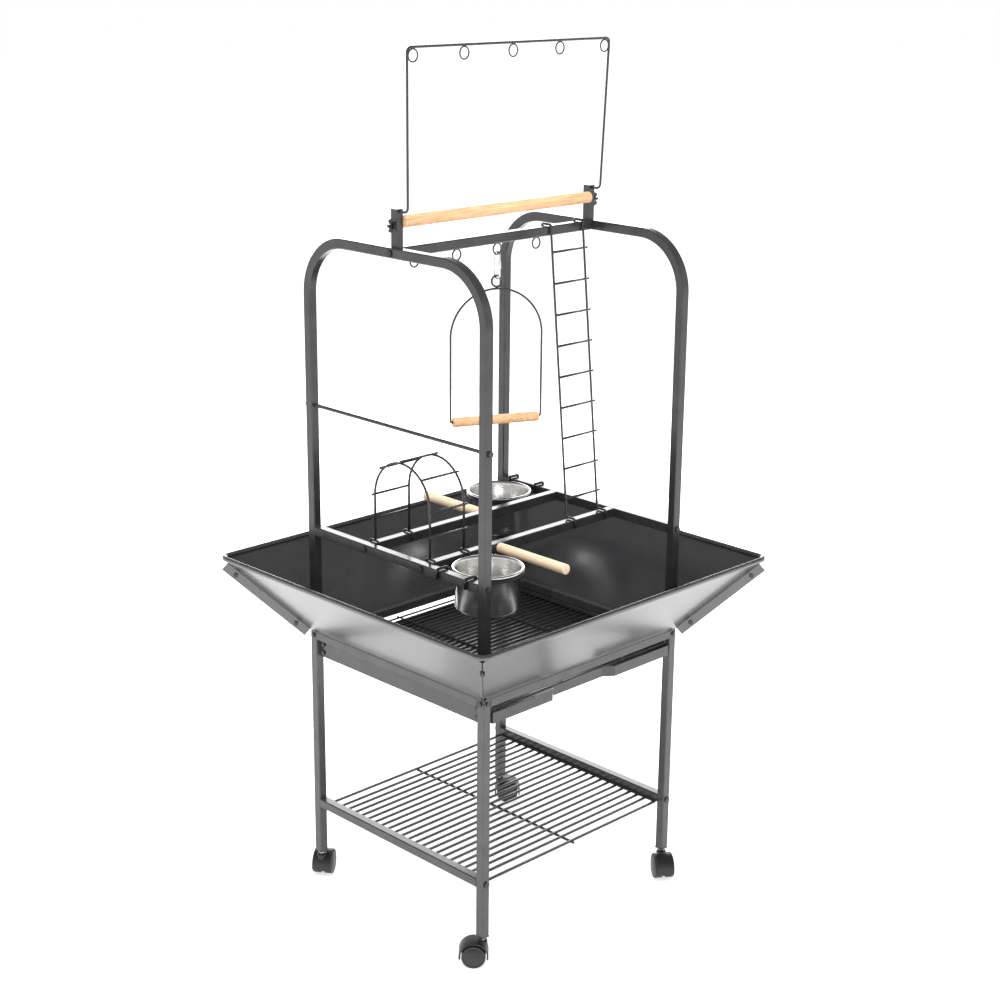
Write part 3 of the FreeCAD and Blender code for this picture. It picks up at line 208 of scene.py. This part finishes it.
# ------------------------------------------------------------------ mesh helpers
def rounded(points, bend, steps=7):
    """The points of a path with an arc of one radius at each corner."""
    points = [Vector(point) for point in points]
    result = [points[0]]
    for before, corner, after in zip(points, points[1:], points[2:]):
        back, ahead = (before - corner).normalized(), (after - corner).normalized()
        half = back.angle(ahead) / 2
        reach = bend / math.tan(half)
        centre = corner + (back + ahead).normalized() * (bend / math.sin(half))
        first, last = (corner + back * reach - centre) / bend, (corner + ahead * reach - centre) / bend
        result += [centre + first.slerp(last, step / steps) * bend for step in range(steps + 1)]
    result.append(points[-1])
    return result


def arc(centre, across, up, radius, low, high, steps=24):
    """Points on an arc in the plane of two directions; angles in degrees."""
    angles = [math.radians(low + (high - low) * step / steps) for step in range(steps + 1)]
    return [centre + (across * math.cos(angle) + up * math.sin(angle)) * radius for angle in angles]


def mesh_object(name, vertices, faces, material, smooth=True):
    """An object made of vertices and faces, in world metres."""
    mesh = bpy.data.meshes.new(name)
    mesh.from_pydata([tuple(vertex) for vertex in vertices], [], faces)
    mesh.materials.append(MATERIALS[material])
    item = bpy.data.objects.new(name, mesh)
    scene.collection.objects.link(item)
    clean = bmesh.new()
    clean.from_mesh(mesh)
    bmesh.ops.recalc_face_normals(clean, faces=clean.faces)
    clean.to_mesh(mesh)
    clean.free()
    for polygon in mesh.polygons:
        polygon.use_smooth = smooth
    return item


def tube_data(points, radius, sides=14, closed=False):
    """Vertices and faces of a round tube along a line of points."""
    count = len(points)
    ahead = []
    for index in range(count):
        after = points[(index + 1) % count] if closed or index + 1 < count else points[index]
        before = points[index - 1] if closed or index else points[index]
        ahead.append((after - before).normalized())
    side = ahead[0].orthogonal().normalized()
    vertices, faces = [], []
    for index in range(count):
        side = (side - ahead[index] * side.dot(ahead[index])).normalized()
        other = ahead[index].cross(side)
        for turn in range(sides):
            angle = 2 * math.pi * turn / sides
            vertices.append(points[index] + (side * math.cos(angle) + other * math.sin(angle)) * radius)
    rows = count if closed else count - 1
    for row in range(rows):
        here, there = row * sides, (row + 1) % count * sides
        for turn in range(sides):
            after = (turn + 1) % sides
            faces.append((here + turn, here + after, there + after, there + turn))
    if not closed:
        faces.append(tuple(range(sides)))
        faces.append(tuple(range((count - 1) * sides, count * sides)))
    return vertices, faces


def tubes(name, lines, material, sides=14):
    """One object of several tubes; each line is (points, radius, closed)."""
    vertices, faces = [], []
    for points, radius, closed in lines:
        more_vertices, more_faces = tube_data(points, radius, sides, closed)
        shift = len(vertices)
        vertices += more_vertices
        faces += [tuple(index + shift for index in face) for face in more_faces]
    return mesh_object(name, vertices, faces, material)


def ring_line(centre, axis, radius, wire, steps=28):
    """A closed ring of wire about an axis."""
    axis = Vector(axis).normalized()
    across = axis.orthogonal().normalized()
    points = arc(Vector(centre), across, axis.cross(across), radius, 0, 360, steps)
    return points[:-1], wire, True


def lathe(name, profile, centre, axis, material, segments=64):
    """A surface of revolution; the profile is (radius, distance along the axis)."""
    axis = Vector(axis).normalized()
    across = axis.orthogonal().normalized()
    other = axis.cross(across)
    vertices, faces = [], []
    for radius, along in profile:
        for turn in range(segments):
            angle = 2 * math.pi * turn / segments
            vertices.append(Vector(centre) + axis * along
                            + (across * math.cos(angle) + other * math.sin(angle)) * radius)
    for row in range(len(profile) - 1):
        for turn in range(segments):
            after = (turn + 1) % segments
            faces.append((row * segments + turn, row * segments + after,
                          (row + 1) * segments + after, (row + 1) * segments + turn))
    item = mesh_object(name, vertices, faces, material)
    merge = bmesh.new()
    merge.from_mesh(item.data)
    bmesh.ops.remove_doubles(merge, verts=merge.verts, dist=1e-6)
    merge.to_mesh(item.data)
    merge.free()
    return item


def stand_for(item, body, slot, *nodes):
    """The piece rides on a body and stands for CAD nodes, which it hides; the slot is not used."""
    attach(item, body)
    if nodes:
        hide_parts(*nodes)
    return item


# ------------------------------------------------------------------ wire forms
X, Y, Z = Vector((1, 0, 0)), Vector((0, 1, 0)), Vector((0, 0, 1))
TUBE = 0.016
FRAME_TOP, RAIL_TOP, LEG_X, CROSS_Y = 1.152, 0.658, 0.223, 0.0685
RING_WIRE, WELD = 0.0012, 0.0003
HOOK_GAP, HOOK_DROP = 0.0006, 0.0128


def toy_hanger():
    """The bent wire over the top perch and its welded rings."""
    wire, half, lean, out = 0.002, 0.2215, 0.007, 0.025
    post, foot, top = 0.2154, 1.207, 1.452
    left = [Vector((-post, 0.0085, foot)), Vector((-post, -out, foot)), Vector((-half, -out - lean, top))]
    right = [Vector((-point.x, point.y, point.z)) for point in reversed(left)]
    lines = [(rounded(left + right, 4 * wire, 10), wire, False)]
    radius, step = 0.0095, 0.105
    for index in range(-2, 3):
        centre = (index * step, -out - lean, top - wire - radius - RING_WIRE / 2)
        lines.append(ring_line(centre, Y, radius, RING_WIRE))
    stand_for(tubes("hanger_wire", lines, "wire_paint"), "stand", "wire_paint", "toy_hanger")


def bar_rings():
    """The rings welded under the top bar."""
    radius, step = 0.009, 0.09
    height = FRAME_TOP - TUBE - radius - RING_WIRE + WELD
    lines = [ring_line((index * step, 0, height), Y, radius, RING_WIRE * 1.1) for index in (-2, -1, 0, 1)]
    stand_for(tubes("bar_ring_wires", lines, "wire_paint"), "stand", "wire_paint")


def ladder():
    """The ladder hooked over the top bar and a cross rail."""
    wire, left, right = 0.002, 0.114, 0.191
    gap = wire + HOOK_GAP
    reach = TUBE / 2 + gap
    upper = Vector((0, -reach, FRAME_TOP - HOOK_DROP / 2))
    lower = Vector((0, reach - CROSS_Y, RAIL_TOP + HOOK_DROP))
    head, foot = FRAME_TOP + gap, RAIL_TOP + gap
    path = [Vector((0, reach, FRAME_TOP - HOOK_DROP)), Vector((0, reach, head)), Vector((0, -reach, head)),
            upper, lower, Vector((0, reach - wire / 2 - CROSS_Y, foot)), Vector((0, -reach - CROSS_Y, foot)),
            Vector((0, -reach - CROSS_Y, RAIL_TOP - HOOK_DROP))]
    lines = [(rounded([point + X * across for point in path], 2 * wire, 6), wire, False)
             for across in (left, right)]
    slope = (upper - lower).normalized()
    face = slope.cross(X).normalized()
    face = -face if face.y > 0 else face
    first, step, rungs, out = 0.6927, 0.0521, 9, 0.0035
    for index in range(rungs):
        share = (first + step * index - lower.z) / (upper.z - lower.z)
        centre = lower.lerp(upper, share) + face * (2 * wire - WELD)
        lines.append(([centre + X * (left - out), centre + X * (right + out)], wire, False))
    stand_for(tubes("ladder_wires", lines, "wire_paint"), "stand", "wire_paint", "ladder")


def bridge():
    """The arched bridge hooked over the two cross rails."""
    wire, radius, spring = 0.002, 0.066, 0.739
    gap = wire + HOOK_GAP
    inner, outer = CROSS_Y - TUBE / 2 - gap, CROSS_Y + TUBE / 2 + gap
    foot, down = RAIL_TOP + gap, RAIL_TOP - HOOK_DROP
    left, right, out = -0.209, -0.135, 0.0035
    lines = []
    for across in (left, right):
        for side in (-1, 1):
            hook = [Vector((across, side * inner, down)), Vector((across, side * inner, foot)),
                    Vector((across, side * outer, foot)), Vector((across, side * outer, down))]
            lines.append((rounded(hook, 2 * wire, 6), wire, False))
        arch = [Vector((across, -radius, foot))] + arc(Vector((across, 0, spring)), Y, Z, radius, 180, 0) \
            + [Vector((across, radius, foot))]
        lines.append((arch, wire, False))
    on_top = radius + 2 * wire - WELD
    places = [(on_top * math.sin(math.pi / 4 * index), spring + on_top * math.cos(math.pi / 4 * index))
              for index in range(-2, 3)]
    places += [(side * on_top, (foot + spring) / 2 - wire) for side in (-1, 1)]
    for along, height in places:
        lines.append(([Vector((left - out, along, height)), Vector((right + out, along, height))],
                      wire, False))
    stand_for(tubes("bridge_wires", lines, "wire_paint"), "stand", "wire_paint", "bridge")


def cup_holders():
    """The wire rings that carry the cups."""
    wire, radius, hook = 0.0025, 0.0563, 0.032
    seat = 0.6565 - 0.0055 - 0.0029
    gap = wire + HOOK_GAP
    for end, side, along in (("front", -1, -0.142), ("rear", 1, 0.146)):
        centre = Vector((side * 0.154, along, seat))
        lines = [ring_line(centre, Z, radius, wire, 56)]
        reach = math.sqrt(radius ** 2 - hook ** 2)
        near, far = LEG_X - TUBE / 2 - gap, LEG_X + TUBE / 2 + gap
        for offset in (-hook, hook):
            path = [Vector((centre.x + side * reach, along + offset, seat)),
                    Vector((side * near, along + offset, seat)),
                    Vector((side * near, along + offset, RAIL_TOP + gap)),
                    Vector((side * far, along + offset, RAIL_TOP + gap)),
                    Vector((side * far, along + offset, RAIL_TOP - HOOK_DROP))]
            lines.append((rounded(path, 1.2 * wire, 6), wire, False))
        item = tubes("cup_holder_wires_" + end, lines, "black_hardware")
        stand_for(item, "stand", "black_hardware", "cup_holder_" + end)


def swing():
    """The swing's arch, eye and link."""
    wire, half, apex, height, reach = 0.0018, 0.079, 1.061, 0.8415, 0.0744
    turn = Matrix.Rotation(-math.radians(25.3), 4, "Z")
    spring = 0.988
    rise = apex - spring
    radius = (half ** 2 + rise ** 2) / (2 * rise)
    spread_deg = math.degrees(math.asin(half / radius))
    crown = arc(Vector((0, 0, apex - radius)), X, Z, radius, 90 + spread_deg, 90 - spread_deg, 36)
    start = reach - 6 * wire
    left = rounded([Vector((-start, 0, height)), Vector((-half, 0, height)), Vector((-half, 0, spring))],
                   2 * wire, 6)[:-1]
    right = [Vector((-point.x, 0, point.z)) for point in reversed(left)]
    eye_radius = 0.009
    eye_z = apex + 2 * wire + eye_radius - WELD
    lines = [(left + crown + right, wire, False), ring_line((0, 0, eye_z), Y, eye_radius, wire)]
    lines = [([turn @ point for point in points], thick, closed) for points, thick, closed in lines]
    stand_for(tubes("swing_wires", lines, "wire_paint"), "swing", "wire_paint", "swing_frame")
    low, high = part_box("quick_link")
    side = (high.y - low.y) / 2 - wire
    top, bottom = high.z - wire, low.z + wire
    loop = arc(Vector((0, 0, top - side)), Y, Z, side, 180, 0, 16) \
        + arc(Vector((0, 0, bottom + side)), Y, Z, side, 0, -180, 16)
    link = tubes("link_wire", [(loop, wire, True)], "zinc_steel")
    sleeve = lathe("link_sleeve", [(0.0, -0.006), (0.0026, -0.006), (0.003, -0.0055), (0.003, 0.0055),
                                   (0.0026, 0.006), (0.0, 0.006)], (0, -side, (top + bottom) / 2), Z,
                   "zinc_steel", 6)
    for polygon in sleeve.data.polygons:
        polygon.use_smooth = False
    stand_for(link, "swing", "zinc_steel", "quick_link")
    stand_for(sleeve, "swing", "zinc_steel")


# ------------------------------------------------------------------ skirt, cups and perches
def skirt_rims():
    """The rolled rim as one smooth round edge, turned on a small radius at each corner."""
    reach_x, reach_y, height, fold, radius = 0.337, 0.3184, 0.5986, 0.016, 0.0044
    loop = []
    for side_x, side_y, low in ((-1, -1, 180), (1, -1, 270), (1, 1, 0), (-1, 1, 90)):
        centre = Vector((side_x * (reach_x - fold), side_y * (reach_y - fold), height))
        loop += arc(centre, X, Y, fold, low, low + 90, 10)
    rim = tubes("skirt_rim", [(loop, radius, True)], "skirt_paint", 20)
    stand_for(rim, "stand", "skirt_paint")


def turned(name, start, end, radius, material, ease=0.0015, waves=()):
    """A dowel with eased ends and a slightly uneven surface along its length."""
    start, end = Vector(start), Vector(end)
    length = (end - start).length
    profile = [(0, 0), (radius - ease, 0)]
    profile += [(radius - ease * (1 - math.sin(math.pi / 8 * step)),
                 ease * (1 - math.cos(math.pi / 8 * step)))
                for step in range(1, 5)]
    steps = 40
    for step in range(1, steps):
        along = ease + (length - 2 * ease) * step / steps
        wave = sum(size * math.sin(count * math.pi * along / length) for count, size in waves)
        profile.append((radius - 0.0001 + wave, along))
    profile += [(radius - ease * (1 - math.cos(math.pi / 8 * step)),
                 length - ease * (1 - math.sin(math.pi / 8 * step))) for step in range(0, 5)]
    profile.append((0, length))
    return lathe(name, profile, start, end - start, material, 40)


def cups():
    """Spun steel cups: a rounded bottom edge, thin walls and a rolled rim."""
    outside, rim, depth, top, sheet, corner = 0.053, 0.0585, 0.073, 0.6565, 0.0008, 0.0088
    roll = (rim - outside) / 2
    for end, across, along in (("front", -0.154, -0.142), ("rear", 0.154, 0.146)):
        quarter = [math.pi / 16 * step for step in range(9)]
        profile = [(0, 0)]
        profile += [(outside - corner + corner * math.sin(turn), corner * (1 - math.cos(turn)))
                    for turn in quarter]
        profile.append((outside, depth - 2 * roll))
        centre = (outside + roll, depth - roll)
        profile += [(centre[0] - roll * math.cos(turn), centre[1] - roll * math.sin(turn))
                    for turn in [math.pi / 10 * step for step in range(3, 18)]]
        inner = outside - sheet
        profile.append((inner, depth - 2 * roll))
        small = corner - sheet
        profile += [(inner - small + small * math.cos(turn), sheet + small * (1 - math.sin(turn)))
                    for turn in quarter]
        profile.append((0, sheet))
        item = lathe("cup_bowl_" + end, profile, (across, along, top - depth), Z, "cup_steel", 96)
        stand_for(item, "cup_" + end, "cup_steel", "cup_" + end)


# ------------------------------------------------------------------ casters
HEADINGS = {"front_left": 135, "front_right": 235, "rear_left": 35, "rear_right": -45}
LEG_Y, WHEEL, WHEEL_OUT, WHEEL_GAP, TRAIL = 0.2055, 0.02, 0.0175, 0.0036, 0.014
BOSS = [(0, 0.03), (0.0085, 0.03), (0.0085, 0.0425), (0.0078, 0.0445), (0.0064, 0.045), (0, 0.045)]
PERCH_SCREW = [(0, 0), (0.0036, 0), (0.0044, -0.0006), (0.0048, 0.0002), (0.0048, -0.001), (0, -0.001)]


def casters():
    """Twin-wheel casters with smooth tyres and hoods."""
    for end, along in (("front", -1), ("rear", 1)):
        for side, across in (("left", -1), ("right", 1)):
            corner = end + "_" + side
            turn = Matrix.Translation((across * LEG_X, along * LEG_Y, 0)) \
                @ Matrix.Rotation(math.radians(HEADINGS[corner]), 4, "Z")
            centre = turn @ Vector((TRAIL, 0, WHEEL))
            axle = turn.to_3x3() @ Y
            for name, way in (("near", 1), ("far", -1)):
                wheel = lathe("wheel_%s_%s" % (name, corner), tyre_profile(), centre, axle * way,
                              "caster_plastic", 72)
                nodes = ["caster_wheels_" + corner] if way > 0 else []
                stand_for(wheel, "wheels_" + corner, "caster_plastic", *nodes)
            body = "caster_" + corner
            stand_for(hood_band("hood_" + corner, turn), body, "caster_plastic", "caster_hood_" + corner)
            web = 0.003
            plate = lathe("hood_web_" + corner, [(0, -web), (0.0178, -web), (0.0178, web), (0, web)], centre,
                          axle, "caster_plastic", 48)
            stand_for(plate, body, "caster_plastic")
            boss = lathe("hood_boss_" + corner, BOSS, turn @ Vector((0, 0, 0)), Z, "caster_plastic", 40)
            stand_for(boss, body, "caster_plastic")


def tyre_profile():
    """Half of a wheel pair: inner face, rounded shoulders and a flat cap with a faint groove round it."""
    inner, outer, small, large = WHEEL_GAP, WHEEL_OUT, 0.0006, 0.0018
    profile = [(0, inner), (WHEEL - small, inner), (WHEEL, inner + small)]
    profile += [(WHEEL - large + large * math.cos(math.pi / 10 * step),
                 outer - large + large * math.sin(math.pi / 10 * step)) for step in range(6)]
    return profile + [(0.0166, outer), (0.0163, outer - 0.0005), (0.0159, outer - 0.0005), (0.0156, outer),
                      (0, outer)]


def hood_band(name, turn):
    """The hood's shell: a band with eased edges, bent round the wheels' axle."""
    outer, wall, half, ease = 0.0245, 0.0026, 0.016, 0.0009
    low = -math.degrees(math.asin(0.005 / outer))
    section = []
    for corner, (radial, side) in enumerate(((1, 1), (0, 1), (0, -1), (1, -1))):
        middle = (outer - ease if radial else outer - wall + ease, side * (half - ease))
        start = (0, 90, 180, 270)[corner]
        for step in range(4):
            angle = math.radians(start + 30 * step)
            section.append((middle[0] + ease * math.cos(angle), middle[1] + ease * math.sin(angle)))
    vertices, faces, steps, count = [], [], 44, len(section)
    for step in range(steps + 1):
        angle = math.radians(low + (180 - 2 * low) * step / steps)
        for radius, side in section:
            vertices.append(turn @ Vector((TRAIL + radius * math.cos(angle), side,
                                           WHEEL + radius * math.sin(angle))))
    for step in range(steps):
        for index in range(count):
            after = (index + 1) % count
            faces.append((step * count + index, step * count + after,
                          (step + 1) * count + after, (step + 1) * count + index))
    faces += [tuple(range(count)), tuple(steps * count + index for index in range(count))]
    return mesh_object(name, vertices, faces, "caster_plastic")


def perches():
    """Turned dowels with eased ends in place of the plain ones."""
    waves = ((3, 0.00003), (7, 0.00002))
    half = 0.2154 - 0.0065
    top = turned("top_perch_wood", (-half, -0.005, 1.191), (half, -0.005, 1.191), 0.0095, "perch_wood",
                 0.0004, waves)
    stand_for(top, "stand", "perch_wood", "top_perch")
    height = RAIL_TOP - TUBE / 2 + 0.0003
    inside = CROSS_Y + TUBE / 2
    for name, across, side, length in (("front", -0.064, -1, 0.1515), ("rear", 0.046, 1, 0.146)):
        dowel = turned("low_perch_wood_" + name, (across, side * inside, height),
                       (across, side * (inside + length), height), 0.0085, "dowel_wood", 0.0016, waves)
        stand_for(dowel, "stand", "dowel_wood", "low_perch_" + name)
        cap = lathe("perch_screw_" + name, PERCH_SCREW,
                    (across, side * (inside + length - 0.0001), height), Y * side, "zinc_steel", 24)
        stand_for(cap, "stand", "zinc_steel")


# ------------------------------------------------------------------ studio
def studio():
    """White floor and surround, a wide soft box behind and above, and a weak fill."""
    bpy.ops.mesh.primitive_plane_add(size=40)
    floor = bpy.context.object
    floor.name = "floor"
    material, tree, shader = new_material("floor_white")
    shader.inputs["Base Color"].default_value = (0.93, 0.93, 0.93, 1)
    shader.inputs["Roughness"].default_value = 0.9
    shader.inputs["Specular IOR Level"].default_value = 0.0
    place = add(tree, "ShaderNodeNewGeometry")
    away = add(tree, "ShaderNodeVectorMath", operation="LENGTH")
    tree.links.new(place.outputs["Position"], away.inputs[0])
    glow = add(tree, "ShaderNodeMapRange", interpolation_type="SMOOTHSTEP")
    for key, number in (("From Min", 0.45), ("From Max", 1.6), ("To Min", FLOOR_GLOW), ("To Max", 1.0)):
        glow.inputs[key].default_value = number
    tree.links.new(away.outputs["Value"], glow.inputs["Value"])
    tree.links.new(glow.outputs["Result"], shader.inputs["Emission Strength"])
    shader.inputs["Emission Color"].default_value = (1, 1, 1, 1)
    floor.data.materials.append(material)

    world = bpy.data.worlds.new("surround")
    scene.world = world
    world.use_nodes = True
    tree = world.node_tree
    tree.nodes.clear()
    output = add(tree, "ShaderNodeOutputWorld")
    rays = add(tree, "ShaderNodeLightPath")
    direction = add(tree, "ShaderNodeTexCoord")
    parts = add(tree, "ShaderNodeSeparateXYZ")
    tree.links.new(direction.outputs["Generated"], parts.inputs["Vector"])
    sky = ramp(tree, parts.outputs["Z"], SKY)
    ambient = add(tree, "ShaderNodeBackground", Strength=1.0)
    white = add(tree, "ShaderNodeBackground", Strength=1.0)
    tree.links.new(sky.outputs["Color"], ambient.inputs["Color"])
    white.inputs["Color"].default_value = (1, 1, 1, 1)
    mix = add(tree, "ShaderNodeMixShader")
    tree.links.new(rays.outputs["Is Camera Ray"], mix.inputs["Fac"])
    tree.links.new(ambient.outputs["Background"], mix.inputs[1])
    tree.links.new(white.outputs["Background"], mix.inputs[2])
    tree.links.new(mix.outputs["Shader"], output.inputs["Surface"])

    soft_box("back_box", (2.3, 2.5, 1.5), (0, 0, 0.9), (3.0, 1.4), 60, True)
    soft_box("top_box", (-0.4, -0.3, 4.2), (0, 0, 0.5), (4.5, 4.5), 260, False)
    soft_box("front_box", (-2.6, -3.4, 2.4), (0, 0, 0.8), (2.4, 2.0), 60, False)


FLOOR_GLOW = 0.55
SKY = [(0.0, (0.95, 0.95, 0.95)), (0.3, (0.9, 0.9, 0.9)), (0.62, (0.16, 0.16, 0.16)), (1.0, (0.1, 0.1, 0.1))]


def soft_box(name, at, aim, size, power, mirrored):
    """A studio panel that the camera doesn't see; glossy pieces mirror it only where wanted."""
    light = bpy.data.lights.new(name, "AREA")
    light.shape = "RECTANGLE"
    light.size, light.size_y = size
    light.energy = power
    item = bpy.data.objects.new(name, light)
    item.location = at
    item.rotation_euler = (Vector(aim) - Vector(at)).to_track_quat("-Z", "Y").to_euler()
    item.visible_camera = False
    item.visible_glossy = mirrored
    scene.collection.objects.link(item)


CAMERA_AT = (-2.0922, -2.1239, 1.6156)
CAMERA_YAW = math.radians(44.73)
CAMERA_PITCH = math.radians(17.05)
CAMERA_ROLL = math.radians(0.54)
LENS_MM = 66.69
SENSOR_MM = 36.0


def camera():
    """The camera at the photograph's viewing angle."""
    data = bpy.data.cameras.new("camera")
    data.lens, data.sensor_width = LENS_MM, SENSOR_MM
    item = bpy.data.objects.new("camera", data)
    turn = (Matrix.Rotation(-CAMERA_YAW, 4, "Z") @ Matrix.Rotation(math.pi / 2 - CAMERA_PITCH, 4, "X")
            @ Matrix.Rotation(CAMERA_ROLL, 4, "Z"))
    item.matrix_world = Matrix.Translation(CAMERA_AT) @ turn
    scene.collection.objects.link(item)
    scene.camera = item


dress_cad()
toy_hanger()
bar_rings()
ladder()
bridge()
cup_holders()
swing()
skirt_rims()
cups()
perches()
casters()
studio()
camera()
scene.view_settings.view_transform = "Standard"
